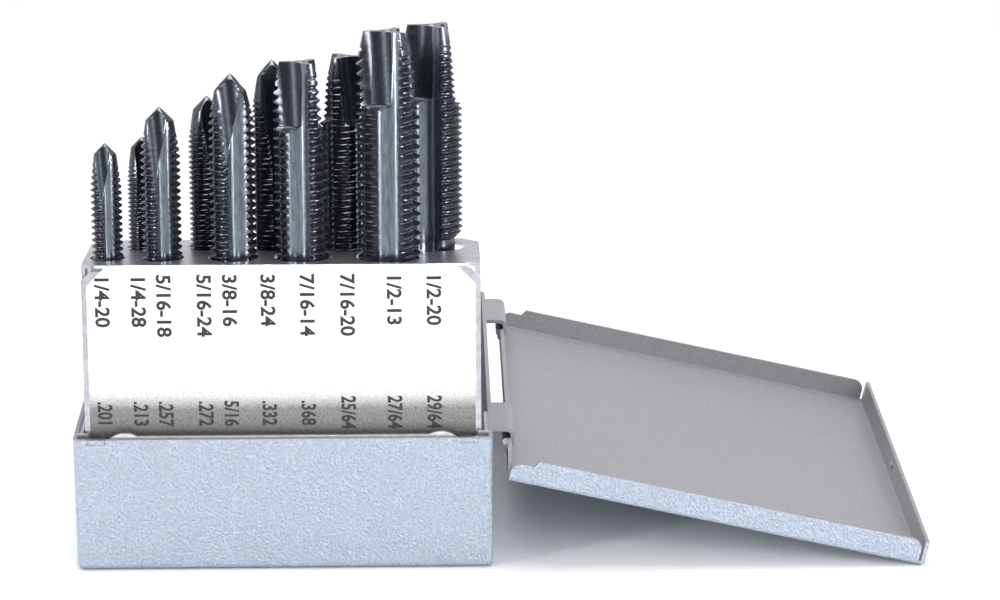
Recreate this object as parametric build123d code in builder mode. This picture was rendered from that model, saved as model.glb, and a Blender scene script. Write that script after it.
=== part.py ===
"""Sheet-metal tap index case: a hinged tray and lid with a fold-up rack that stands ten taps.

Frame: X to the right, Y away from the front, Z up, origin at the centre of the tray's underside.
Shown open: the lid lies out to the right on the bench and the rack stands, leaning back a little.
"""

import os
from math import asin, atan2, cos, hypot, pi, radians, sin, tan

from build123d import *

os.makedirs("parts", exist_ok=True)

# ---------------------------------------------------------------- driving dimensions (mm, degrees)
sheet = 0.8  # gauge of every pressed part
case_width = 84.0
case_depth = 94.0
case_height = 28.0
case_bend = 1.2  # outside radius between floor and walls
case_corner = 1.2  # outside radius of the upright corners

lid_rise = 3.0  # closed lid's top above the tray's rim
lid_rim = 5.4  # full depth of the lid's rims
lid_rim_low = 4.1  # rim depth beside the hinge
lid_rim_low_run = 5.3
lid_rim_round = 2.2  # rounded far corner of each side rim
lid_bend = 1.0
lid_side_gap = 0.3  # clearance between side rims and the tray's walls
lid_end_gap = 0.4  # the same at the far rim
lid_overhang = 1.2  # lid panel past the tray's hinge wall when closed
lid_slit = 0.5  # gap between a side rim and the far rim
flange_rise = 1.0  # top edge of the lid's hinge flange above the hinge axis, lid open
nib_length = 2.4
nib_height = 1.2
nib_depth = 0.3
nib_rise = 3.2  # nib above the lid panel's outer face

hinge_out = 2.8  # hinge axis outside the tray wall
hinge_drop = 2.9  # hinge axis below the tray's rim
hook_length = 15.0
hook_inset = 5.5  # hook from the tray's front or back face
hook_wrap = 12.0  # degrees the hook curls on past its lowest point
hook_clearance = 0.08  # pin in hook, radial
pin_radius = 0.75
pin_clearance = 0.05  # pin in the lid's ears, radial
ear_thickness = 1.0
ear_radius = 1.5
ear_gap = 0.3  # between a hook's end and the ear beside it
pin_stand = 0.4  # pin past its ear
flange_gap = 0.8  # lid flange clear of the hooks and pins

bracket_drop = 10.0  # bracket's lower edge below the tray's rim
bracket_arm = 16.0  # length of each arm along a side wall
bracket_arm_drop = 0.6  # arms below the tray's rim
bracket_bend = 1.2
bracket_rise = 0.5  # front strip above the tray wall
hump_rise = 0.6
hump_start = 6.8  # hump from the tray's side faces
hump_length = 6.0
foot_inset = 3.0  # clip foot from the tray's side faces
foot_width = 3.4
foot_height = 1.0
foot_clearance = 0.1
tab_back = 2.7  # back face of each stop tab behind the tray's front face
tab_reach = 2.2  # stop tab's length inward from its arm's outer face
tab_rise = 0.6  # stop tab above the tray's rim
tab_depth = 2.0

rack_lean = 6.0  # standing rack leans back past upright
pivot_back = 7.3  # pivot axis behind the tray's front face
pivot_drop = 3.8  # pivot axis below the tray's rim
pivot_radius = 1.2
pivot_clearance = 0.05  # shank in the bracket's arm, radial
rivet_fit = 0.02  # shank in the rack's side plate, radial
rivet_head_radius = 2.2
rivet_head = 0.8

rack_gap = 0.7  # between a side plate and the bracket's arm beside it
face_ahead = 4.8  # face plate's front ahead of the pivot axis
face_gauge = 0.4
rack_back = 21.7  # back of the rack behind the pivot axis
rest_drop = 2.3  # tap rest below the pivot axis
rack_top = 37.9  # top of the rack above the pivot axis
rack_bend = 1.2
face_inset = 1.1  # face plate's edge in from the rack's side
face_bottom = 1.5  # face plate's lower edge below the pivot axis
face_top = 0.3  # face plate's top edge below the rack's top
face_clip = 3.7  # 45 degree clip on the face plate's top corners
side_clip = 3.0  # the same on the rack's own front corners
back_clip = 3.4  # 45 degree clip on the rack's back top corners

front_row = 8.6  # row centre lines behind the face plate's front
back_row = 19.2
hole_clearance = 0.25  # tap in its hole, radial
seat_gap = 0.08  # tap end above the rest
inch = 25.4

# name, row, place across as a share of the rack's half width, thread diameter, overall length, thread length,
# square length, shank diameter, square width, length of the cone point (0 is a flat end), facing in degrees
taps = [
    ("tap_1_4_20", front_row, -0.882, inch / 4, 63.5, 25.4, 7.9, 6.5, 4.85, 2.25, 15),
    ("tap_1_4_28", back_row, -0.72, inch / 4, 63.0, 25.4, 7.9, 6.5, 4.85, 2.25, 35),
    ("tap_5_16_18", front_row, -0.605, inch * 5 / 16, 70.8, 32.5, 9.5, 8.1, 6.05, 2.8, 15),
    ("tap_5_16_24", back_row, -0.385, inch * 5 / 16, 71.3, 32.5, 9.5, 8.1, 6.05, 2.8, 50),
    ("tap_3_8_16", front_row, -0.247, inch * 3 / 8, 77.4, 39.0, 11.1, 9.7, 7.25, 3.35, 20),
    ("tap_3_8_24", back_row, -0.05, inch * 3 / 8, 78.6, 39.5, 11.1, 9.7, 7.25, 3.35, 30),
    ("tap_7_16_14", front_row, 0.104, inch * 7 / 16, 79.6, 42.0, 10.3, 8.2, 6.15, 0, -10),
    ("tap_7_16_20", back_row, 0.324, inch * 7 / 16, 79.2, 41.5, 10.3, 8.2, 6.15, 0, 55),
    ("tap_1_2_13", front_row, 0.54, inch / 2, 85.7, 47.5, 11.1, 9.3, 7.0, 0, 0),
    ("tap_1_2_20", back_row, 0.76, inch / 2, 85.4, 43.5, 11.1, 9.3, 7.0, 0, -12),
]
# tap form, as shares of the thread's diameter
flute_share = 0.25  # flute radius, three flutes
narrow_share = 0.2  # flute radius, two flutes
flute_depth = 0.25  # flute's bottom from the tap's axis
end_share = 0.76  # diameter of a flat end
cone_share = 0.71  # base of a cone point
lead = 6.8  # length of the chamfered lead
gash_share = 0.36  # radius of the slanting gash that makes the spiral point
gash_length = 1.3
gash_depth = 0.14  # gash's bottom from the tap's axis, at the end
gash_slant = 9.0  # degrees each gash leans off its flute
runout = 1.5  # flute past the end of the thread
two_flutes_below = 9.0  # thread diameter

# ---------------------------------------------------------------- worked-out places
half_width = case_width / 2
half_depth = case_depth / 2
inner_width = half_width - sheet
inner_front = -half_depth + sheet
hinge_x = half_width + hinge_out
hook_inner = pin_radius + hook_clearance
hook_middle = hook_inner + sheet / 2  # radius of the hook's centre line
hinge_height = case_height - hinge_drop
hook_crown = case_height - sheet - hook_inner  # centre height of the hook's upper arc
hook_rows = [-half_depth + hook_inset + hook_length / 2, half_depth - hook_inset - hook_length / 2]
pin_length = hook_length + ear_gap + ear_thickness + pin_stand
tab_z = case_height - sheet / 2
flange_top = hinge_height + flange_rise
bracket_bottom = case_height - bracket_drop

arm_top = case_height - bracket_arm_drop
strip_top = case_height + bracket_rise
hump_top = strip_top + hump_rise
hump_out = half_width - hump_start
hump_in = hump_out - hump_length
hump_middle = (hump_in + hump_out) / 2
foot_places = [side * (half_width - foot_inset - foot_width / 2) for side in (-1, 1)]

# The lid in its own frame: u runs out from the hinge side, v along Y, w off the panel's outer face.
lid_depth = case_depth + 2 * (lid_side_gap + sheet)
lid_length = case_width + lid_overhang + lid_end_gap + sheet
axis_u = lid_overhang - hinge_out
axis_w = lid_rise + hinge_drop
far_u = lid_length - lid_bend - axis_u
far_w = axis_w - lid_bend
lid_tilt = asin((hinge_height - lid_bend) / hypot(far_u, far_w)) - atan2(far_w, far_u)
lid_corner = (
    hinge_x - axis_u * cos(lid_tilt) - axis_w * sin(lid_tilt),
    0,
    hinge_height + axis_u * sin(lid_tilt) - axis_w * cos(lid_tilt),
)
lid_out = Vector(cos(lid_tilt), 0, -sin(lid_tilt))
lid_up = Vector(sin(lid_tilt), 0, cos(lid_tilt))
lid_plane = Plane(lid_corner, x_dir=lid_out, z_dir=lid_up)
lid_side = Plane(lid_corner, x_dir=lid_out, z_dir=(0, -1, 0))

# The rack in its own frame: x across, d behind the pivot axis, h along the lean above it.
lean = radians(rack_lean)
pivot = (0, -half_depth + pivot_back, case_height - pivot_drop)
behind = Vector(0, cos(lean), -sin(lean))
upward = Vector(0, sin(lean), cos(lean))
half_rack = inner_width - sheet - rack_gap
face_half = half_rack - face_inset
plate_front = -face_ahead + face_gauge
rack_side = Plane(pivot, x_dir=behind, z_dir=(1, 0, 0))
rack_front = Plane(pivot, x_dir=(1, 0, 0), z_dir=-behind)
rack_plan = Plane(pivot, x_dir=(1, 0, 0), z_dir=upward)


# ---------------------------------------------------------------- tray
with BuildPart() as case_tray:
    with BuildSketch():
        Rectangle(case_width, case_depth)
    extrude(amount=case_height)
    fillet(case_tray.edges().filter_by(Axis.Z), case_corner)
    fillet(case_tray.faces().sort_by(Axis.Z)[0].edges(), case_bend)
    with BuildSketch(Plane.XY.offset(sheet)):
        Rectangle(case_width - 2 * sheet, case_depth - 2 * sheet)
    extrude(amount=case_height, mode=Mode.SUBTRACT)
    # notches in the front wall for the bracket's clip feet
    with BuildSketch(Plane.XZ.offset(half_depth)):
        with Locations([(foot_x, case_height) for foot_x in foot_places]):
            Rectangle(foot_width + 2 * foot_clearance, 2 * (foot_height + foot_clearance))
    extrude(amount=-sheet, mode=Mode.SUBTRACT)
    # two tabs run out of the hinge wall's top edge and hook over the hinge pins
    for row in hook_rows:
        with BuildSketch(Plane.XZ.offset(-row - hook_length / 2)):
            with BuildLine():
                Line((half_width - sheet, tab_z), (hinge_x, tab_z))
                CenterArc((hinge_x, hook_crown), hook_middle, 90, -90)
                Line((hinge_x + hook_middle, hook_crown), (hinge_x + hook_middle, hinge_height))
                CenterArc((hinge_x, hinge_height), hook_middle, 0, -90 - hook_wrap)
            trace(line_width=sheet)
        extrude(amount=hook_length)
case_tray.part.label = "case_tray"

# ---------------------------------------------------------------- pivot bracket
with BuildPart() as pivot_bracket:
    with BuildSketch(Plane.XY.offset(bracket_bottom)):
        with BuildLine():
            FilletPolyline(
                (-inner_width + sheet / 2, inner_front + bracket_arm),
                (-inner_width + sheet / 2, inner_front + sheet / 2),
                (inner_width - sheet / 2, inner_front + sheet / 2),
                (inner_width - sheet / 2, inner_front + bracket_arm),
                radius=bracket_bend - sheet / 2,
            )
        trace(line_width=sheet)
    extrude(amount=case_height + bracket_rise + hump_rise - bracket_bottom)
    # the top edge: level arms, a raised middle and a rounded hump near each end
    with BuildSketch(Plane.XZ.offset(half_depth)):
        with BuildLine():
            Polyline(
                (-hump_out, arm_top),
                (-half_width, arm_top),
                (-half_width, bracket_bottom),
                (half_width, bracket_bottom),
                (half_width, arm_top),
                (hump_out, arm_top),
            )
            ThreePointArc((hump_out, arm_top), (hump_middle, hump_top), (hump_in, strip_top))
            Line((hump_in, strip_top), (-hump_in, strip_top))
            ThreePointArc((-hump_in, strip_top), (-hump_middle, hump_top), (-hump_out, arm_top))
        make_face()
    extrude(amount=-case_depth, mode=Mode.INTERSECT)
    # clip feet reach forward through the wall's notches
    with BuildSketch(Plane.XZ.offset(half_depth)):
        with Locations([(foot_x, case_height - foot_height / 2) for foot_x in foot_places]):
            Rectangle(foot_width, foot_height)
    extrude(amount=-1.5 * sheet)
    # stop tabs turned inward at the front of each arm
    for side in (-1, 1):
        with BuildSketch(Plane.XZ.offset(half_depth - tab_back + sheet)):
            with Locations((side * (inner_width - tab_reach / 2), case_height + tab_rise - tab_depth / 2)):
                Rectangle(tab_reach, tab_depth)
        extrude(amount=-sheet)
    # pivot holes
    with BuildSketch(Plane.YZ.offset(-half_width)):
        with Locations(pivot[1:]):
            Circle(pivot_radius + pivot_clearance)
    extrude(amount=case_width, mode=Mode.SUBTRACT)
pivot_bracket.part.label = "pivot_bracket"

# ---------------------------------------------------------------- hinge pins
with BuildPart() as hinge_pins:
    for row in hook_rows:
        with BuildSketch(Plane.XZ.offset(-row + hook_length / 2)):
            with Locations((hinge_x, hinge_height)):
                Circle(pin_radius)
        extrude(amount=-pin_length)
hinge_pins.part.label = "hinge_pins"

# ---------------------------------------------------------------- lid
rim_end = lid_length - sheet - lid_slit
flange_x = lid_corner[0] + sheet / 2
with BuildPart() as lid:
    with BuildSketch(lid_plane):
        with Locations((lid_length / 2, 0)):
            Rectangle(lid_length, lid_depth)
    extrude(amount=lid_rim)
    lid_u = Axis(lid_corner, lid_out)
    lid_w = Axis(lid_corner, lid_up)
    fillet(lid.faces().sort_by(lid_w)[0].edges().sort_by(lid_u)[1:], lid_bend)
    offset(amount=-sheet, openings=[lid.faces().sort_by(lid_w)[-1], lid.faces().sort_by(lid_u)[0]])
    # side rims: lower and rounded beside the hinge, rounded again before a slit at the far rim
    with BuildSketch(lid_side):
        with BuildLine():
            Polyline(
                (rim_end, lid_bend),
                (lid_length - sheet, lid_bend),
                (lid_length - sheet, 2 * lid_rim),
                (rim_end - lid_rim_round, 2 * lid_rim),
                (rim_end - lid_rim_round, lid_rim),
            )
            RadiusArc((rim_end - lid_rim_round, lid_rim), (rim_end, lid_rim - lid_rim_round), lid_rim_round)
            Line((rim_end, lid_rim - lid_rim_round), (rim_end, lid_bend))
        make_face()
        with BuildLine():
            Polyline(
                (0, lid_rim_low - lid_rim_round),
                (-lid_rim, lid_rim_low - lid_rim_round),
                (-lid_rim, 2 * lid_rim),
                (lid_rim_low_run, 2 * lid_rim),
                (lid_rim_low_run, lid_rim),
                (lid_rim_low_run - sheet, lid_rim_low),
                (lid_rim_round, lid_rim_low),
            )
            RadiusArc((lid_rim_round, lid_rim_low), (0, lid_rim_low - lid_rim_round), -lid_rim_round)
        make_face()
    extrude(amount=lid_depth, both=True, mode=Mode.SUBTRACT)
    # hinge flange, upright with the lid open
    with BuildSketch(Plane.XZ.offset(half_depth - sheet)):
        with BuildLine():
            FilletPolyline(
                (flange_x, flange_top),
                (flange_x, lid_corner[2] + sheet / 2),
                (flange_x + 2 * lid_bend * cos(lid_tilt), lid_corner[2] + sheet / 2 - 2 * lid_bend * sin(lid_tilt)),
                radius=lid_bend - sheet / 2,
            )
        trace(line_width=sheet)
    extrude(amount=-2 * (half_depth - sheet))
    # the flange is cut away round each hook and pin, leaving one ear on each pin
    for row in hook_rows:
        with BuildSketch(Plane.XZ.offset(-row + hook_length / 2 + flange_gap)):
            with Locations((hinge_x, hinge_height)):
                Circle(hinge_drop + flange_gap)
        extrude(amount=-pin_length - 2 * flange_gap, mode=Mode.SUBTRACT)
        with BuildSketch(Plane.XZ.offset(-row - hook_length / 2 - ear_gap)):
            with Locations((hinge_x, hinge_height)):
                Circle(ear_radius)
            with Locations((flange_x + sheet / 2 - ear_radius / 2, hinge_height)):
                Rectangle(ear_radius, hinge_height - lid_corner[2] - sheet, align=(Align.CENTER, Align.MAX))
            with Locations((hinge_x, hinge_height)):
                Circle(pin_radius + pin_clearance, mode=Mode.SUBTRACT)
        extrude(amount=-ear_thickness)
    # detent nib on the inside of the far rim
    with BuildSketch(lid_side.offset(-nib_length / 2)):
        with Locations((lid_length - sheet, nib_rise)):
            Ellipse(nib_depth, nib_height / 2)
    extrude(amount=nib_length)
lid.part.label = "lid"

# ---------------------------------------------------------------- rack
with BuildPart() as rack_channel:
    # top plate, front plate and tap rest are one folded strip
    with BuildSketch(rack_side.offset(-half_rack)):
        with BuildLine():
            FilletPolyline(
                (rack_back, rack_top - sheet / 2),
                (plate_front + sheet / 2, rack_top - sheet / 2),
                (plate_front + sheet / 2, -rest_drop - sheet / 2),
                (rack_back, -rest_drop - sheet / 2),
                radius=rack_bend - sheet / 2,
            )
        trace(line_width=sheet)
    extrude(amount=2 * half_rack)
    # side plates close its ends
    for inner in (-half_rack, half_rack - sheet):
        with BuildSketch(rack_side.offset(inner)):
            with Locations(((plate_front + rack_back) / 2, (rack_top - rest_drop - sheet) / 2)):
                RectangleRounded(rack_back - plate_front, rack_top + rest_drop + sheet, rack_bend)
        extrude(amount=sheet)
    # clipped front corners
    with BuildSketch(rack_front.offset(-plate_front)):
        for side in (-1, 1):
            with BuildLine():
                Polyline(
                    (side * half_rack, rack_top),
                    (side * (half_rack - side_clip), rack_top),
                    (side * half_rack, rack_top - side_clip),
                    close=True,
                )
            make_face()
    extrude(amount=-2 * sheet, mode=Mode.SUBTRACT)
    # clipped back corners, seen from above and from the side
    with BuildSketch(rack_plan.offset(rack_top)):
        for side in (-1, 1):
            with BuildLine():
                Polyline(
                    (side * half_rack, rack_back),
                    (side * (half_rack - back_clip), rack_back),
                    (side * half_rack, rack_back - back_clip),
                    close=True,
                )
            make_face()
    extrude(amount=-2 * sheet, mode=Mode.SUBTRACT)
    # tap holes in the top plate
    with BuildSketch(rack_plan.offset(rack_top)):
        for _, row, share, thread, _, _, _, shank, _, _, _ in taps:
            with Locations((share * half_rack, row - face_ahead)):
                Circle(max(thread, shank) / 2 + hole_clearance)
    extrude(amount=-sheet, mode=Mode.SUBTRACT)
    with BuildSketch(rack_side.offset(-half_rack)):
        Circle(pivot_radius + rivet_fit)
    extrude(amount=2 * half_rack, mode=Mode.SUBTRACT)
rack_channel.part.label = "rack_channel"

with BuildPart() as label_plate:
    with BuildSketch(rack_front.offset(face_ahead)):
        with BuildLine():
            Polyline(
                (-face_half, -face_bottom),
                (face_half, -face_bottom),
                (face_half, rack_top - face_top - face_clip),
                (face_half - face_clip, rack_top - face_top),
                (-face_half + face_clip, rack_top - face_top),
                (-face_half, rack_top - face_top - face_clip),
                close=True,
            )
        make_face()
    extrude(amount=-face_gauge)
label_plate.part.label = "label_plate"

# ---------------------------------------------------------------- pivot rivets
for hand, side in (("left", -1), ("right", 1)):
    with BuildPart() as pivot_rivet:
        with BuildSketch(Plane.YZ.offset(side * (half_rack - sheet))):
            with Locations(pivot[1:]):
                Circle(pivot_radius)
        extrude(amount=side * (inner_width - half_rack + sheet))
        with BuildSketch(Plane.YZ.offset(side * (half_rack - sheet))):
            with Locations(pivot[1:]):
                Circle(rivet_head_radius)
        extrude(amount=-side * rivet_head)
    pivot_rivet.part.label = f"pivot_rivet_{hand}"
    export_step(pivot_rivet.part, f"parts/pivot_rivet_{hand}.step")

# ---------------------------------------------------------------- taps
for name, row, share, thread, length, threaded, squared, shank, square, point, facing in taps:
    across = share * half_rack
    foot = pivot + Vector(across, 0, 0) + behind * (row - face_ahead) + upward * (seat_gap - rest_drop)
    tap_base = Plane(foot, x_dir=(1, 0, 0), z_dir=upward)
    tap_side = Plane(foot, x_dir=(1, 0, 0), z_dir=-behind)
    flutes = 2 if thread < two_flutes_below else 3
    flute = (narrow_share if thread < two_flutes_below else flute_share) * thread
    thread_start = length - threaded
    end = (cone_share if point else end_share) * thread / 2
    with BuildPart() as one_tap:
        with BuildSketch(tap_side):
            with BuildLine():
                outline = [
                    (0, 0),
                    (shank / 2, 0),
                    (shank / 2, thread_start),
                    (thread / 2, thread_start + abs(thread - shank) / 2),
                    (thread / 2, length - point - lead),
                    (end, length - point),
                    (0, length),
                ]
                Polyline(outline, close=True)
            make_face()
        revolve(axis=Axis(foot, upward))
        # driving square
        with BuildSketch(tap_base):
            Circle(shank)
            Rectangle(square, square, mode=Mode.SUBTRACT)
        extrude(amount=squared, mode=Mode.SUBTRACT)
        # straight flutes, and the slanting gash beside each one that makes the spiral point
        for index in range(flutes):
            turn = 2 * pi * index / flutes + radians(facing) - pi / 2
            radial = Vector(cos(turn), 0, 0) + behind * sin(turn)
            around = Vector(-sin(turn), 0, 0) + behind * cos(turn)
            slot = foot + radial * (flute + flute_depth * thread)
            with BuildSketch(Plane(slot + upward * length, x_dir=radial, z_dir=upward)):
                RegularPolygon(flute, 6, major_radius=False, rotation=30)
            extrude(amount=-threaded - runout, mode=Mode.SUBTRACT)
            gash = gash_share * thread
            run = gash_length * thread
            mouth = foot + upward * length + radial * (gash + gash_depth * thread)
            mouth -= around * (run * tan(radians(gash_slant)))
            heel = foot + upward * (length - run) + radial * (gash + flute_depth * thread)
            with BuildSketch(Plane(heel, x_dir=-radial, z_dir=mouth - heel)):
                RegularPolygon(gash, 6, major_radius=False, rotation=30)
            extrude(amount=2 * run, mode=Mode.SUBTRACT)
    one_tap.part.label = name
    export_step(one_tap.part, f"parts/{name}.step")

export_step(case_tray.part, "parts/case_tray.step")
export_step(pivot_bracket.part, "parts/pivot_bracket.step")
export_step(hinge_pins.part, "parts/hinge_pins.step")
export_step(lid.part, "parts/lid.step")
export_step(rack_channel.part, "parts/rack_channel.step")
export_step(label_plate.part, "parts/label_plate.step")
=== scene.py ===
from math import cos, pi, radians, sin

import bmesh
import bpy
from mathutils import Matrix, Vector


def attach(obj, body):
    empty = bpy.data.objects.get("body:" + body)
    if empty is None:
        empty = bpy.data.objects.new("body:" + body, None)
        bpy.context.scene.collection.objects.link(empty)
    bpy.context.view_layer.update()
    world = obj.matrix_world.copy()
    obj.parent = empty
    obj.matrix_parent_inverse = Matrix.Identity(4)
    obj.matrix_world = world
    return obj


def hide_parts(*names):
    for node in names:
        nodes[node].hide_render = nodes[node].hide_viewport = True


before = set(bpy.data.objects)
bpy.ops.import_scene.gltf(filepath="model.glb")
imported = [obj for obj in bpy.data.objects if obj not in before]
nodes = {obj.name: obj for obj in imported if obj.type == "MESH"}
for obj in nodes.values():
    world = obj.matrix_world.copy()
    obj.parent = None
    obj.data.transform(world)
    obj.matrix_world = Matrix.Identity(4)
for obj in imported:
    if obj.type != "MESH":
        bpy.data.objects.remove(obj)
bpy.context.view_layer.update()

MM = 0.001


# ---------------------------------------------------------------- materials
def srgb(code):
    """A hex colour as linear RGBA."""
    parts = [int(code[i : i + 2], 16) / 255 for i in (1, 3, 5)]
    return tuple(c / 12.92 if c <= 0.04045 else ((c + 0.055) / 1.055) ** 2.4 for c in parts) + (1.0,)


def add(tree, kind, settings=None, **links):
    """Adds a node. Settings are attributes; links are values or sockets for its inputs."""
    node = tree.nodes.new(kind)
    for name, value in (settings or {}).items():
        setattr(node, name, value)
    for name, value in links.items():
        key = int(name[1:]) if name[0] == "i" and name[1:].isdigit() else name.replace("_", " ")
        socket = node.inputs[key]
        if isinstance(value, bpy.types.NodeSocket):
            tree.links.new(value, socket)
        else:
            socket.default_value = value
    return node


def material(name):
    """A new material with its tree, its shader and object coordinates in metres."""
    made = bpy.data.materials.new(name)
    made.use_nodes = True
    tree = made.node_tree
    shader = tree.nodes["Principled BSDF"]
    place = tree.nodes.new("ShaderNodeTexCoord").outputs["Object"]
    return made, tree, shader, place


def ramp(tree, fac, *stops):
    """A colour ramp with (position, colour) stops."""
    node = add(tree, "ShaderNodeValToRGB", Fac=fac)
    while len(node.color_ramp.elements) < len(stops):
        node.color_ramp.elements.new(0.5)
    for element, (position, colour) in zip(node.color_ramp.elements, stops):
        element.position = position
        element.color = colour
    return node.outputs["Color"]


def wrinkle_enamel():
    # Baked wrinkle-finish enamel on steel sheet, sprayed outside: pale silvery blue with a fine pebbled
    # relief, half a millimetre from crest to crest, that breaks up highlights.
    made, tree, shader, place = material("baked wrinkle enamel")
    grain = add(tree, "ShaderNodeTexNoise", Vector=place, Scale=1 / (0.5 * MM), Detail=2.5)
    cells = add(tree, "ShaderNodeTexVoronoi", {"feature": "SMOOTH_F1"}, Vector=place, Scale=1 / (0.65 * MM))
    cells.inputs["Smoothness"].default_value = 0.7
    mixed = add(
        tree, "ShaderNodeMath", {"operation": "MULTIPLY_ADD"}, i0=cells.outputs["Distance"], i1=0.5,
        i2=grain.outputs["Fac"],
    )
    colour = ramp(
        tree, mixed.outputs[0], (0.4, srgb("#96a0af")), (0.75, srgb("#a4aebd")), (1.0, srgb("#b0bac9")),
    )
    tree.links.new(colour, shader.inputs["Base Color"])
    bump = add(tree, "ShaderNodeBump", Strength=1.0, Distance=0.5 * MM, Height=mixed.outputs[0])
    tree.links.new(bump.outputs[0], shader.inputs["Normal"])
    shader.inputs["Roughness"].default_value = 0.28
    shader.inputs["IOR"].default_value = 1.5
    shader.inputs["Metallic"].default_value = 0.5
    return made


def inside_enamel_shaded():
    # Smooth sprayed enamel on steel sheet, inside the lid and tray, the same paint as outside. Its warm mid
    # grey, darker than the outside, is painted shade and a painted reflection of the dark surroundings.
    # Satin.
    made, tree, shader, place = material("satin grey enamel with painted shade")
    fine = add(tree, "ShaderNodeTexNoise", Vector=place, Scale=1 / (0.4 * MM), Detail=2.0)
    colour = ramp(tree, fine.outputs["Fac"], (0.3, srgb("#817f83")), (0.7, srgb("#949296")))
    tree.links.new(colour, shader.inputs["Base Color"])
    bump = add(tree, "ShaderNodeBump", Strength=0.25, Distance=0.03 * MM, Height=fine.outputs["Fac"])
    tree.links.new(bump.outputs[0], shader.inputs["Normal"])
    shader.inputs["Roughness"].default_value = 0.42
    shader.inputs["IOR"].default_value = 1.5
    shader.inputs["Metallic"].default_value = 0.3
    return made


def zinc(name, dark, light, rough, cell=1.6):
    # Bright zinc plating on cold-rolled sheet, or bare drawn steel for pins and rivets: cool grey metal with
    # soft clouding.
    made, tree, shader, place = material(name)
    cloud = add(tree, "ShaderNodeTexNoise", Vector=place, Scale=1 / (cell * MM), Detail=4.0)
    speck = add(tree, "ShaderNodeTexNoise", Vector=place, Scale=1 / (0.35 * MM), Detail=2.0)
    colour = ramp(tree, cloud.outputs["Fac"], (0.3, srgb(dark)), (0.7, srgb(light)))
    tree.links.new(colour, shader.inputs["Base Color"])
    gloss = add(
        tree, "ShaderNodeMapRange", Value=speck.outputs["Fac"], To_Min=rough - 0.06, To_Max=rough + 0.08,
    )
    tree.links.new(gloss.outputs[0], shader.inputs["Roughness"])
    bump = add(tree, "ShaderNodeBump", Strength=0.15, Distance=0.02 * MM, Height=speck.outputs["Fac"])
    tree.links.new(bump.outputs[0], shader.inputs["Normal"])
    shader.inputs["Metallic"].default_value = 1.0
    return made


FACE_FOOT, FACE_HEAD = 22.7, 61.6  # heights of the face plate's ends above the bench, mm


def face_zinc():
    # Satin zinc plated steel face, fine-grained. Its colour runs from near white at the top to near black at
    # its lower edge. This darkening is painted shade and a painted reflection of the dark tray lip below it.
    made, tree, shader, place = material("satin zinc face with painted shade")
    grain = add(tree, "ShaderNodeTexNoise", Vector=place, Scale=1 / (0.28 * MM), Detail=3.0)
    height = add(tree, "ShaderNodeSeparateXYZ", Vector=place).outputs["Z"]
    up = add(tree, "ShaderNodeMapRange", Value=height, From_Min=FACE_FOOT * MM, From_Max=FACE_HEAD * MM)
    # painted shade and reflection of the dark lip, darkest at the foot of the face
    painted_shade_fade = ramp(
        tree, up.outputs[0], (0.0, srgb("#101010")), (0.07, srgb("#2c2c2b")), (0.13, srgb("#5a5a58")),
        (0.2, srgb("#838380")), (0.27, srgb("#8f8f8d")), (0.34, srgb("#dcdcdb")), (0.5, srgb("#f8f8f8")),
    )
    speck = ramp(tree, grain.outputs["Fac"], (0.35, srgb("#b4b4b4")), (0.6, srgb("#ffffff")))
    grainy = add(
        tree, "ShaderNodeMapRange", Value=up.outputs[0], From_Min=0.28, From_Max=0.42, To_Min=0.8,
        To_Max=0.12,
    )
    blend = add(
        tree, "ShaderNodeMix", {"data_type": "RGBA", "blend_type": "MULTIPLY"}, Factor=grainy.outputs[0],
    )
    tree.links.new(painted_shade_fade, blend.inputs["A"])
    tree.links.new(speck, blend.inputs["B"])
    tree.links.new(blend.outputs["Result"], shader.inputs["Base Color"])
    bump = add(tree, "ShaderNodeBump", Strength=0.2, Distance=0.02 * MM, Height=grain.outputs["Fac"])
    tree.links.new(bump.outputs[0], shader.inputs["Normal"])
    shader.inputs["Metallic"].default_value = 0.4
    shader.inputs["Roughness"].default_value = 0.42
    return made


def black_oxide():
    # Black oxide over ground tool steel: blue-black, oily sheen, faint drawn marks.
    made, tree, shader, place = material("black oxide tool steel")
    cloud = add(tree, "ShaderNodeTexNoise", Vector=place, Scale=1 / (1.2 * MM), Detail=4.0)
    colour = ramp(tree, cloud.outputs["Fac"], (0.3, srgb("#4a4c53")), (0.7, srgb("#62656d")))
    tree.links.new(colour, shader.inputs["Base Color"])
    gloss = add(tree, "ShaderNodeMapRange", Value=cloud.outputs["Fac"], To_Min=0.12, To_Max=0.24)
    tree.links.new(gloss.outputs[0], shader.inputs["Roughness"])
    shader.inputs["Metallic"].default_value = 0.85
    return made


def ground_flute():
    # Ground and polished flutes under the oxide: lighter blue-grey, drawn along the tap.
    made, tree, shader, place = material("polished oxide flute")
    drawn = add(tree, "ShaderNodeMapping", Vector=place, Scale=(1.0, 1.0, 0.06)).outputs[0]
    lines = add(tree, "ShaderNodeTexNoise", Vector=drawn, Scale=1 / (0.35 * MM), Detail=2.0)
    colour = ramp(tree, lines.outputs["Fac"], (0.3, srgb("#666e78")), (0.7, srgb("#848c94")))
    tree.links.new(colour, shader.inputs["Base Color"])
    shader.inputs["Roughness"].default_value = 0.22
    shader.inputs["Metallic"].default_value = 0.9
    return made


def gash_shade_finish():
    # The spiral point's gashes: dark, as painted shade in the recessed gash, and softer than the flutes.
    made, tree, shader, place = material("spiral point with painted shade")
    lines = add(tree, "ShaderNodeTexNoise", Vector=place, Scale=1 / (0.6 * MM), Detail=2.0)
    colour = ramp(tree, lines.outputs["Fac"], (0.3, srgb("#33373d")), (0.7, srgb("#42474d")))
    tree.links.new(colour, shader.inputs["Base Color"])
    shader.inputs["Roughness"].default_value = 0.36
    shader.inputs["Metallic"].default_value = 0.9
    return made


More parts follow.
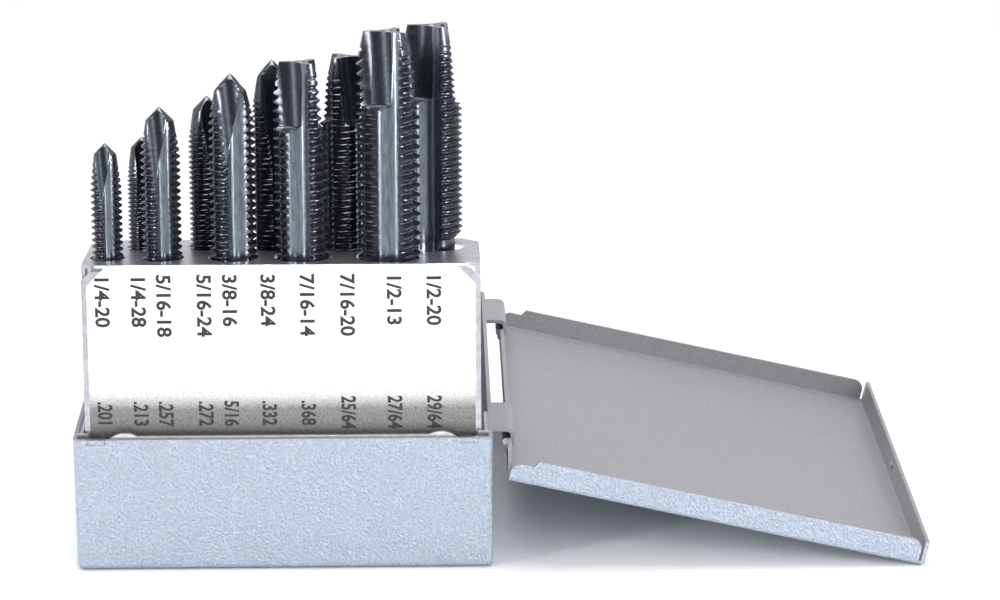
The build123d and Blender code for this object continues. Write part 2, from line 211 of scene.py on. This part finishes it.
def ground_face():
    # The taps' ground end faces: mauve-grey, matt.
    made, tree, shader, place = material("ground tap end")
    swirl = add(tree, "ShaderNodeTexNoise", Vector=place, Scale=1 / (0.4 * MM), Detail=2.0)
    colour = ramp(tree, swirl.outputs["Fac"], (0.3, srgb("#77737c")), (0.7, srgb("#8f8b94")))
    tree.links.new(colour, shader.inputs["Base Color"])
    shader.inputs["Roughness"].default_value = 0.38
    shader.inputs["Metallic"].default_value = 0.8
    return made


def printed_black():
    # Screen-printed black epoxy ink, slightly worn.
    made, tree, shader, place = material("black screen ink")
    wear = add(tree, "ShaderNodeTexNoise", Vector=place, Scale=1 / (0.4 * MM), Detail=3.0)
    colour = ramp(tree, wear.outputs["Fac"], (0.3, srgb("#1b1b1d")), (0.75, srgb("#333336")))
    tree.links.new(colour, shader.inputs["Base Color"])
    shader.inputs["Roughness"].default_value = 0.5
    shader.inputs["IOR"].default_value = 1.5
    return made


enamel = wrinkle_enamel()
inside = inside_enamel_shaded()
plating = zinc("bright zinc plate", "#bdbbc3", "#d6d4da", 0.32)
steel = zinc("drawn bright steel", "#8d8d93", "#b4b4ba", 0.28, 3.0)
face = face_zinc()
oxide = black_oxide()
flute_steel = ground_flute()
gash_shaded_steel = gash_shade_finish()
end_steel = ground_face()
ink = printed_black()


# ---------------------------------------------------------------- geometry helpers
class Number:
    """A number field in a geometry tree, so that a shape's rule reads as plain arithmetic."""

    tree = None

    def __init__(self, socket):
        self.socket = socket

    def math(self, operation, *others):
        node = Number.tree.nodes.new("ShaderNodeMath")
        node.operation = operation
        for socket, item in zip(node.inputs, (self,) + others):
            if isinstance(item, Number):
                Number.tree.links.new(item.socket, socket)
            else:
                socket.default_value = item
        return Number(node.outputs[0])

    def __add__(self, other):
        return self.math("ADD", other)

    def __sub__(self, other):
        return self.math("SUBTRACT", other)

    def __mul__(self, other):
        return self.math("MULTIPLY", other)

    def __truediv__(self, other):
        return self.math("DIVIDE", other)

    def __rsub__(self, other):
        return (self * -1.0) + other

    __radd__ = __add__
    __rmul__ = __mul__

    def low(self, other):
        return self.math("MINIMUM", other)

    def high(self, other):
        return self.math("MAXIMUM", other)

    def above(self, other):
        return self.math("GREATER_THAN", other)

    def below(self, other):
        return self.math("LESS_THAN", other)

    def where(self, yes, no):
        """yes where this field is 1, no where it is 0."""
        node = Number.tree.nodes.new("GeometryNodeSwitch")
        node.input_type = "FLOAT"
        Number.tree.links.new(self.socket, node.inputs[0])
        for socket, item in ((node.inputs["True"], yes), (node.inputs["False"], no)):
            if isinstance(item, Number):
                Number.tree.links.new(item.socket, socket)
            else:
                socket.default_value = item
        return Number(node.outputs[0])


def new_tree(name, **inputs):
    """A geometry tree with named number inputs. Returns it, its inputs as fields, and its output node."""
    tree = bpy.data.node_groups.new(name, "GeometryNodeTree")
    tree.interface.new_socket("Geometry", in_out="OUTPUT", socket_type="NodeSocketGeometry")
    for key, value in inputs.items():
        kind = "NodeSocketInt" if isinstance(value, int) else "NodeSocketFloat"
        socket = tree.interface.new_socket(key, in_out="INPUT", socket_type=kind)
        socket.default_value = value
    entry = tree.nodes.new("NodeGroupInput")
    leave = tree.nodes.new("NodeGroupOutput")
    Number.tree = tree
    return tree, {key: Number(entry.outputs[key]) for key in inputs}, leave


def grown(name, tree, place=None, smooth=35.0, **inputs):
    """Runs a geometry tree once and returns its result as a plain mesh object."""
    holder = bpy.data.objects.new("grow", bpy.data.meshes.new("grow"))
    bpy.context.scene.collection.objects.link(holder)
    modifier = holder.modifiers.new("grow", "NODES")
    modifier.node_group = tree
    for item in tree.interface.items_tree:
        if item.in_out == "INPUT" and item.name in inputs:
            modifier[item.identifier] = inputs[item.name]
    mesh = bpy.data.meshes.new_from_object(holder.evaluated_get(bpy.context.evaluated_depsgraph_get()))
    bpy.data.objects.remove(holder)
    if place is not None:
        mesh.transform(place)
    return finished(name, mesh, smooth)


def finished(name, mesh, smooth=35.0):
    """A finished piece: its object at the origin, shaded smooth up to an angle."""
    mesh.name = name
    mesh.shade_smooth()
    mesh.set_sharp_from_angle(angle=radians(smooth))
    piece = bpy.data.objects.new(name, mesh)
    bpy.context.scene.collection.objects.link(piece)
    return piece


# ---------------------------------------------------------------- taps
# The rack leans back about its pivot: across is X, behind and upward lean with it. Lengths in mm.
LEAN = radians(6.0)
PIVOT = Vector((0.0, -39.7, 24.2)) * MM
RACK_FRAME = Matrix.Translation(PIVOT) @ Matrix.Rotation(-LEAN, 4, "X")
HALF_RACK = 39.7  # half the rack's width
FACE_AHEAD = 4.8  # the rack's face in front of its pivot
REST = -2.22  # the taps' feet above the pivot
FRONT_ROW, BACK_ROW = 8.6, 19.2  # each row of taps behind the face

# a tap's rings of points, counted from the foot: the closed foot, its edge, the bevel, the square's top, the
# shank's foot, the shank, and from SHANK_ROWS on the thread
FOOT, FOOT_EDGE, BEVEL_TOP, SQUARE_TOP, SHANK_FOOT = range(5)
SHANK_ROWS = 15
EDGE = 0.005  # radians between a channel's edge and the first column beside it
THREAD_DEPTH = 0.6  # share of the pitch
FLANK, ROOT = 1.35, 0.2  # steepness of the thread's flanks, and width of its root


def tap_tree():
    """One hand tap as a polar grid: rows climb it, columns go round it, and a rule gives each radius.

    From the foot: driving square, shank, a helical thread with a chamfered lead, and a cone or a flat end.
    Each flute is a straight round channel. A second, wider channel cuts into it near the end and leans to the
    left as it climbs: this is the spiral point, which pushes the chips ahead of the tap.
    """
    tree, at, leave = new_tree(
        "spiral point tap", Diameter=0.0127, Pitch=0.00195, Flutes=3, Length=0.0857, Thread_Start=0.0382,
        Shank=0.0093, Square=0.007, Square_Length=0.0111, Point=0.0, Lead=0.0068, Tip=0.0097,
        Columns=44, Flute_Columns=28, Rows=240, Turn=0.0, Flute_Radius=0.0032, Floor=0.0032,
        Gash_Radius=0.0046, Gash_Length=0.0165, Gash_Heel=0.0025, Gash_Mouth=0.0018, Gash_Aside=0.0019,
        Slant=3.0, Bevel=0.0005,
    )  # lengths in metres, Turn in radians, Slant in degrees
    around = at["Columns"] * at["Flutes"]
    grid = tree.nodes.new("GeometryNodeMeshGrid")
    grid.inputs["Size X"].default_value = 1.0
    grid.inputs["Size Y"].default_value = 1.0
    for socket, count in (("Vertices X", around + 1.0), ("Vertices Y", at["Rows"])):
        tree.links.new(count.socket, grid.inputs[socket])
    spot = add(tree, "ShaderNodeSeparateXYZ", Vector=tree.nodes.new("GeometryNodeInputPosition").outputs[0])
    column = ((Number(spot.outputs["X"]) + 0.5) * around).math("ROUND")
    row = ((Number(spot.outputs["Y"]) + 0.5) * (at["Rows"] - 1.0)).math("ROUND")

    # rows: the shank's few, then even steps up the thread, then two that close the end
    shank = at["Shank"] * 0.5
    outer = at["Diameter"] * 0.5
    start = at["Thread_Start"]
    length = at["Length"]
    last = at["Rows"] - 3.0
    runout = at["Diameter"] * 0.4
    thread_z = start + (length - start) * ((row - (SHANK_ROWS - 1.0)) / (last - (SHANK_ROWS - 1.0))).low(1.0)
    bevelled = row.below(BEVEL_TOP + 0.5).where(at["Bevel"], at["Square_Length"])
    z = row.below(FOOT_EDGE + 0.5).where(0.0, bevelled)
    climb = start - runout * ((SHANK_ROWS - 2.0 - row) / (SHANK_ROWS - SHANK_FOOT - 3.0))
    z = row.below(SHANK_FOOT + 0.5).where(z, row.below(SHANK_ROWS - 1.5).where(climb, thread_z))
    body = row.below(FOOT + 0.5).where(0.0, row.below(FOOT_EDGE + 0.5).where(shank - at["Bevel"], shank))

    # the two channels' centres at this height: out from the axis, and aside of the flute
    straight = at["Flute_Radius"] + at["Floor"]
    below_thread = (start - z).high(0.0)
    straight = straight + below_thread * below_thread / (at["Diameter"] * 0.9)
    heel = length - at["Gash_Length"]
    climbed = ((z - heel) / at["Gash_Length"]).high(0.0)
    short = (heel - z).high(0.0)
    away = at["Gash_Radius"] + at["Gash_Heel"] + (at["Gash_Mouth"] - at["Gash_Heel"]) * climbed
    away = away + short * short / (at["Diameter"] * 0.07)
    lean = at["Slant"].math("RADIANS").math("TANGENT")
    aside = (at["Gash_Aside"] + climbed * at["Gash_Length"] * lean) * -1.0
    gashed = (away * away - aside * aside).high(0.0).math("SQRT")

    # columns: even steps across each flute's union with its gash, and across the land to the next
    half = at["Flutes"].math("POWER", -1.0) * pi
    sector = (column / at["Columns"]).math("FLOOR")
    step = column - sector * at["Columns"]

    def edge(out, radius):
        """How far round the tap a channel's edge lies from its middle."""
        meets = (out * out + outer * outer - radius * radius) / (out * outer * 2.0)
        grazes = (radius / out).low(1.0).math("ARCSINE")
        near = (out * out).below(outer * outer + radius * radius)
        return near.where(grazes, meets.low(1.0).math("ARCCOSINE"))

    flute_edge = edge(straight, at["Flute_Radius"])
    gash_edge = edge(away, at["Gash_Radius"])
    swing = aside.math("ARCTAN2", gashed)
    left_edge = (swing - gash_edge).low(flute_edge * -1.0)
    right_edge = (swing + gash_edge).high(flute_edge)
    wide = at["Flute_Columns"]
    inside = left_edge + EDGE + (right_edge - left_edge - 2 * EDGE) * (step / wide)
    land = (step - wide - 1.0) / (at["Columns"] - wide - 2.0)
    outside = right_edge + EDGE + (left_edge + half * 2.0 - right_edge - 2 * EDGE) * land
    offset = step.below(wide + 0.5).where(inside, outside)
    angle = sector * half * 2.0 + offset + at["Turn"]

    # thread: crest and root flats joined by straight flanks, cut down by the lead's cone and the point
    turn = (z / at["Pitch"] - angle / (2 * pi)).math("FRACT")
    ridge = ((turn * 2.0 - 1.0).math("ABSOLUTE") * FLANK - ROOT).high(0.0).low(1.0)
    thread = outer - at["Pitch"] * THREAD_DEPTH * (1.0 - ridge)
    cone_z = length - at["Point"] - at["Lead"]
    cone = outer - (outer - at["Tip"] * 0.5) * ((z - cone_z) / at["Lead"]).high(0.0)
    point = at["Tip"] * 0.5 * ((length - z) / at["Point"].high(1e-5))
    point = at["Point"].above(1e-4).where(point, 1.0)
    threaded = thread.low(shank.low(outer) + (z - start).high(0.0)).low(cone).low(point)
    whole = row.above(SHANK_ROWS - 0.5).where(threaded, body)

    # each channel: the near side of its circle, met by the ray at this angle
    def channel(out, aside_now, radius):
        near = out * offset.math("COSINE") + aside_now * offset.math("SINE")
        depth = near * near - (out * out + aside_now * aside_now - radius * radius)
        hit = near - depth.high(0.0).math("SQRT")
        return (depth.above(0.0) * near.above(0.0)).where(hit, 1.0)

    fluted = channel(straight, 0.0, at["Flute_Radius"])
    notched = channel(gashed, aside, at["Gash_Radius"])
    cut = fluted.low(notched)
    r = row.above(SHANK_FOOT + 0.5).where(whole.low(cut), whole)

    # driving square: the flat met by the same ray
    along_x = angle.math("COSINE").math("ABSOLUTE")
    along_y = angle.math("SINE").math("ABSOLUTE")
    flat = at["Square"] * 0.5 / along_x.high(along_y)
    r = row.below(SQUARE_TOP + 0.5).where(r.low(flat), r)

    # a flat end closes on a centre hole; a point closes on itself
    hole = at["Diameter"] * 0.1
    closing = row.above(last + 0.5)
    r = closing.where(row.above(last + 1.5).where(0.0, r.low(hole)), r)
    sink = at["Point"].above(1e-4).where(0.0, hole * 1.6)
    high = row.above(last + 1.5).where(z - sink, z)

    # which finish: flutes are polished, gashes are darkened as painted shade, the end is ground dull, the
    # rest is black
    in_flute = step.above(0.5) * step.below(wide + 0.5) * cut.below(whole) * row.above(SHANK_FOOT + 1.5)
    stored = add(tree, "GeometryNodeSetMaterial", Geometry=grid.outputs["Mesh"], Material=oxide).outputs[0]
    in_gash = in_flute * notched.below(fluted)
    for field, finish in ((in_flute, flute_steel), (in_gash, gash_shaded_steel), (row.above(last + 0.5), end_steel)):
        coat = add(tree, "GeometryNodeSetMaterial", Geometry=stored, Material=finish)
        tree.links.new(field.above(0.5).socket, coat.inputs["Selection"])
        stored = coat.outputs[0]

    place = add(tree, "ShaderNodeCombineXYZ")
    for axis, value in (("X", r * angle.math("COSINE")), ("Y", r * angle.math("SINE")), ("Z", high)):
        tree.links.new(value.socket, place.inputs[axis])
    moved = add(tree, "GeometryNodeSetPosition", Geometry=stored, Position=place.outputs[0])
    closed = add(tree, "GeometryNodeMergeByDistance", Geometry=moved.outputs[0], Distance=2e-7)
    real = add(tree, "GeometryNodeRealizeInstances", Geometry=closed.outputs[0])
    tree.links.new(real.outputs[0], leave.inputs[0])
    return tree


TAPS = (
    # name, place across as a share of HALF_RACK, row, thread's diameter, threads per inch, overall length,
    # threaded length, square's length, shank's diameter, square's width, cone point's length, facing in
    # degrees
    ("tap_1_4_20", -0.882, FRONT_ROW, 6.35, 20, 63.5, 25.4, 7.9, 6.5, 4.85, 2.25, 15),
    ("tap_1_4_28", -0.72, BACK_ROW, 6.35, 28, 63.0, 25.4, 7.9, 6.5, 4.85, 2.25, 35),
    ("tap_5_16_18", -0.605, FRONT_ROW, 7.94, 18, 70.8, 32.5, 9.5, 8.1, 6.05, 2.8, 15),
    ("tap_5_16_24", -0.385, BACK_ROW, 7.94, 24, 71.3, 32.5, 9.5, 8.1, 6.05, 2.8, 50),
    ("tap_3_8_16", -0.247, FRONT_ROW, 9.53, 16, 77.4, 39.0, 11.1, 9.7, 7.25, 3.35, 20),
    ("tap_3_8_24", -0.05, BACK_ROW, 9.53, 24, 78.6, 39.5, 11.1, 9.7, 7.25, 3.35, 30),
    ("tap_7_16_14", 0.104, FRONT_ROW, 11.11, 14, 79.6, 42.0, 10.3, 8.2, 6.15, 0.0, -10),
    ("tap_7_16_20", 0.324, BACK_ROW, 11.11, 20, 79.2, 41.5, 10.3, 8.2, 6.15, 0.0, 55),
    ("tap_1_2_13", 0.54, FRONT_ROW, 12.7, 13, 85.7, 47.5, 11.1, 9.3, 7.0, 0.0, 0),
    ("tap_1_2_20", 0.76, BACK_ROW, 12.7, 20, 85.4, 43.5, 11.1, 9.3, 7.0, 0.0, -12),
)
TWO_FLUTES_BELOW = 9  # mm of diameter
tap_rule = tap_tree()
for name, share, back, thread, tpi, length, threaded, squared, shank, square, point, facing in TAPS:
    pitch = 25.4 / tpi
    flutes = 2 if thread < TWO_FLUTES_BELOW else 3
    columns, flute_columns, flute_share = (44, 28, 0.25) if flutes == 3 else (64, 34, 0.2)
    # the pointed taps have long, shallow gashes that end in a leaf, the flat ones short, deep ones
    gash_run, gash_heel, gash_mouth, gash_aside, tip = (
        (2.4, 0.42, 0.1, 0.1, 0.71) if point else (1.12, 0.2, 0.14, 0.17, 0.76)
    )
    rows = min(330, max(200, int(threaded / pitch * 10)))
    base = RACK_FRAME @ Matrix.Translation(Vector((share * HALF_RACK, back - FACE_AHEAD, REST)) * MM)
    tap = grown(
        name + "_threaded", tap_rule, base, 32.0,
        Diameter=thread * MM, Pitch=pitch * MM, Flutes=flutes, Length=length * MM,
        Thread_Start=(length - threaded) * MM, Shank=shank * MM,
        Square=square * MM, Square_Length=squared * MM, Point=point * MM,
        Tip=tip * thread * MM, Columns=columns, Flute_Columns=flute_columns, Rows=rows + SHANK_ROWS,
        Turn=radians(facing - 90), Flute_Radius=flute_share * thread * MM, Floor=0.25 * thread * MM,
        Gash_Radius=0.36 * thread * MM, Gash_Length=gash_run * thread * MM, Gash_Heel=gash_heel * thread * MM,
        Gash_Mouth=gash_mouth * thread * MM, Gash_Aside=gash_aside * thread * MM,
    )
    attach(tap, name)
    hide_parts(name)


# ---------------------------------------------------------------- sheet metal
def paint(node, choose, *finishes):
    """Gives a CAD node its finishes. choose picks one for each face from its middle in mm and its normal."""
    mesh = nodes[node].data
    mesh.materials.clear()
    for finish in finishes:
        mesh.materials.append(finish)
    for polygon in mesh.polygons:
        polygon.material_index = choose(polygon.center / MM, polygon.normal) if choose else 0


TILT = radians(12.832)  # the open lid's slope down to the right
LID_CORNER = Vector((45.0497, 0.0, 18.992))  # its outer face beside the hinge, mm
LID_OUT = Vector((cos(TILT), 0.0, -sin(TILT)))
LID_UP = Vector((sin(TILT), 0.0, cos(TILT)))


# limits in mm inside which a face belongs to the enamelled outside
LID_PANEL, LID_SIDES, LID_END = 1.1, 47.8, 85.2
TRAY_SIDES, TRAY_ENDS, TRAY_HINGE, TRAY_FLOOR = 41.5, 46.6, 42.3, 1.3
BRACKET_FRONT = -46.9


def lid_side(middle, facing):
    """0 for the lid's outside, 1 for its inside."""
    out = (middle - LID_CORNER).dot(LID_OUT)
    up = (middle - LID_CORNER).dot(LID_UP)
    if facing.dot(LID_UP) < -0.35 and up < LID_PANEL:
        return 0
    if abs(facing.y) > 0.5 and abs(middle.y) > LID_SIDES and facing.y * middle.y > 0:
        return 0
    if facing.dot(LID_OUT) > 0.5 and out > LID_END:
        return 0
    return 1


def tray_side(middle, facing):
    """0 for the tray's outside, 1 for its inside and for the hinge hooks."""
    sideways = abs(middle.x) > TRAY_SIDES and facing.x * middle.x > 0
    endways = abs(middle.y) > TRAY_ENDS and facing.y * middle.y > 0
    below = facing.z < -0.3 and middle.z < TRAY_FLOOR
    return 0 if (sideways or endways) and middle.x < TRAY_HINGE or below else 1


paint("case_tray", tray_side, enamel, inside)
paint("lid", lid_side, enamel, inside)
paint("pivot_bracket", lambda middle, facing: 1 if middle.y < BRACKET_FRONT else 0, plating, enamel)
paint("rack_channel", None, plating)
paint("label_plate", None, face)
paint("hinge_pins", None, steel)
paint("pivot_rivet_left", None, steel)
paint("pivot_rivet_right", None, steel)


# ---------------------------------------------------------------- printed numbers
CAP_SHARE = 0.72  # a figure's height as a share of the text size
STROKE = 0.11  # mm added round each figure
INK_LIFT = 0.012  # mm between the ink and the face


def printed(text, across, up, height, narrow, align):
    """One line of numbers down the face plate, screen printed. Lengths in mm."""
    curve = bpy.data.curves.new("print", "FONT")
    curve.body = text
    curve.size = height * MM / CAP_SHARE
    curve.resolution_u = 3
    curve.offset = STROKE * MM
    curve.align_x = align
    curve.align_y = "CENTER"
    holder = bpy.data.objects.new("print", curve)
    bpy.context.scene.collection.objects.link(holder)
    mesh = bpy.data.meshes.new_from_object(holder.evaluated_get(bpy.context.evaluated_depsgraph_get()))
    bpy.data.objects.remove(holder)
    squeeze = Matrix.Diagonal((narrow, 1.0, 1.0, 1.0))
    turn = Matrix.Rotation(-pi / 2, 4, "Z")
    upright = Matrix.Rotation(pi / 2, 4, "X")
    spot = Matrix.Translation(Vector((across, -FACE_AHEAD - INK_LIFT, up)) * MM)
    mesh.transform(RACK_FRAME @ spot @ upright @ turn @ squeeze)
    return mesh


def joined(name, meshes, finish):
    bm = bmesh.new()
    for mesh in meshes:
        bm.from_mesh(mesh)
        bpy.data.meshes.remove(mesh)
    result = bpy.data.meshes.new(name)
    bm.to_mesh(result)
    bm.free()
    result.materials.append(finish)
    return finished(name, result)


# thread size, tapping-drill size in inches and place across in mm, for each tap from left to right
PRINTS = (
    ("1/4-20", ".201", -35.7),
    ("1/4-28", ".213", -28.5),
    ("5/16-18", ".257", -23.5),
    ("5/16-24", ".272", -15.5),
    ("3/8-16", "5/16", -10.4),
    ("3/8-24", ".332", -2.8),
    ("7/16-14", ".368", 5.0),
    ("7/16-20", "25/64", 13.0),
    ("1/2-13", "27/64", 22.3),
    ("1/2-20", "29/64", 30.2),
)
SIZE_ROW, DRILL_ROW = 36.2, 7.7  # heights up the face from the pivot, mm
lines = []
for size, drill, across in PRINTS:
    lines.append(printed(size, across, SIZE_ROW, 2.85, 1.04, "LEFT"))
    lines.append(printed(drill, across, DRILL_ROW, 2.85, 0.76, "CENTER"))
numbers = joined("printed_numbers", lines, ink)
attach(numbers, "rack")

# ---------------------------------------------------------------- floor, light and camera
floor_mesh = bpy.data.meshes.new("floor")
reach = 3.0
corners = [(-reach, -reach, 0), (reach, -reach, 0), (reach, reach, 0), (-reach, reach, 0)]
floor_mesh.from_pydata(corners, [], [(0, 1, 2, 3)])
floor = bpy.data.objects.new("floor", floor_mesh)
bpy.context.scene.collection.objects.link(floor)
floor.location.z = -0.0002
paper = bpy.data.materials.new("white sweep")
paper.use_nodes = True
tree = paper.node_tree
shader = tree.nodes["Principled BSDF"]
shader.inputs["Base Color"].default_value = srgb("#e9e9ea")
shader.inputs["Roughness"].default_value = 0.9
# far from the object the sweep is lit to plain white
from_middle = tree.nodes.new("ShaderNodeTexCoord").outputs["Object"]
spread = add(tree, "ShaderNodeVectorMath", {"operation": "LENGTH"}, i0=from_middle)
far = add(tree, "ShaderNodeMapRange", Value=spread.outputs["Value"], From_Min=0.25, From_Max=0.6)
glow = add(tree, "ShaderNodeEmission", Color=(1, 1, 1, 1), Strength=1.0)
sweep = add(tree, "ShaderNodeMixShader", Fac=far.outputs[0])
tree.links.new(shader.outputs[0], sweep.inputs[1])
tree.links.new(glow.outputs[0], sweep.inputs[2])
tree.links.new(sweep.outputs[0], tree.nodes["Material Output"].inputs["Surface"])
floor_mesh.materials.append(paper)

world = bpy.data.worlds.new("studio")
bpy.context.scene.world = world
world.use_nodes = True
tree = world.node_tree
tree.nodes.clear()
path = tree.nodes.new("ShaderNodeLightPath")
seen = add(
    tree, "ShaderNodeMath", {"operation": "MAXIMUM"}, i0=path.outputs["Is Camera Ray"],
    i1=path.outputs["Is Transmission Ray"],
)
# a white tent all round, open and dark towards the camera
towards = add(
    tree, "ShaderNodeVectorMath", {"operation": "DOT_PRODUCT"},
    i0=tree.nodes.new("ShaderNodeTexCoord").outputs["Generated"], i1=(-0.02, -0.95, 0.31),
)
tent = ramp(tree, towards.outputs["Value"], (0.35, srgb("#f4f6fa")), (0.75, srgb("#2e3034")))
soft = add(tree, "ShaderNodeBackground", Color=tent, Strength=0.8)
white = add(tree, "ShaderNodeBackground", Color=(1, 1, 1, 1), Strength=1.0)
both = add(tree, "ShaderNodeMixShader", Fac=seen.outputs[0])
tree.links.new(soft.outputs[0], both.inputs[1])
tree.links.new(white.outputs[0], both.inputs[2])
out = tree.nodes.new("ShaderNodeOutputWorld")
tree.links.new(both.outputs[0], out.inputs["Surface"])


def area_light(name, place, target, size, power):
    lamp = bpy.data.lights.new(name, "AREA")
    lamp.shape = "RECTANGLE"
    lamp.size, lamp.size_y = size
    lamp.energy = power
    holder = bpy.data.objects.new(name, lamp)
    bpy.context.scene.collection.objects.link(holder)
    holder.location = place
    holder.rotation_euler = (Vector(target) - Vector(place)).to_track_quat("-Z", "Y").to_euler()


# name, place, aim, size in metres, watts
area_light("top", (0.0, 0.05, 0.75), (0.03, 0, 0.03), (0.6, 0.5), 6.0)
area_light("front", (0.26, -0.75, 0.42), (0.03, 0, 0.04), (0.14, 0.5), 3.2)
area_light("right strip", (0.6, -0.35, 0.25), (0.0, -0.03, 0.08), (0.1, 0.5), 2.5)
area_light("left strip", (-0.6, -0.4, 0.25), (0.0, -0.03, 0.08), (0.08, 0.5), 3.0)

# camera at the photo's angle: a long lens, a little above, almost square to the front
PHOTO_WIDTH = 1000  # pixels
SENSOR = 36.0  # mm
focal = 3313.2  # pixels
pitch, yaw, roll = 0.319776, 0.022159, -0.000334  # radians
distance = 0.6537  # metres from the aim
aim = Vector((0.043387, -0.047, 0.056992))
forward = Vector((sin(yaw) * cos(pitch), cos(yaw) * cos(pitch), -sin(pitch)))
right = Vector((cos(yaw), -sin(yaw), 0.0))
down = forward.cross(right)
image_right = cos(roll) * right + sin(roll) * down
image_down = -sin(roll) * right + cos(roll) * down
eye = aim - distance * forward
lens = bpy.data.cameras.new("camera")
lens.sensor_width = SENSOR
lens.lens = focal / PHOTO_WIDTH * SENSOR
lens.clip_start = 0.01
camera = bpy.data.objects.new("camera", lens)
bpy.context.scene.collection.objects.link(camera)
turned = Matrix((image_right, -image_down, -forward)).transposed().to_4x4()
camera.matrix_world = Matrix.Translation(eye) @ turned
bpy.context.scene.camera = camera
bpy.context.scene.view_settings.view_transform = "Standard"
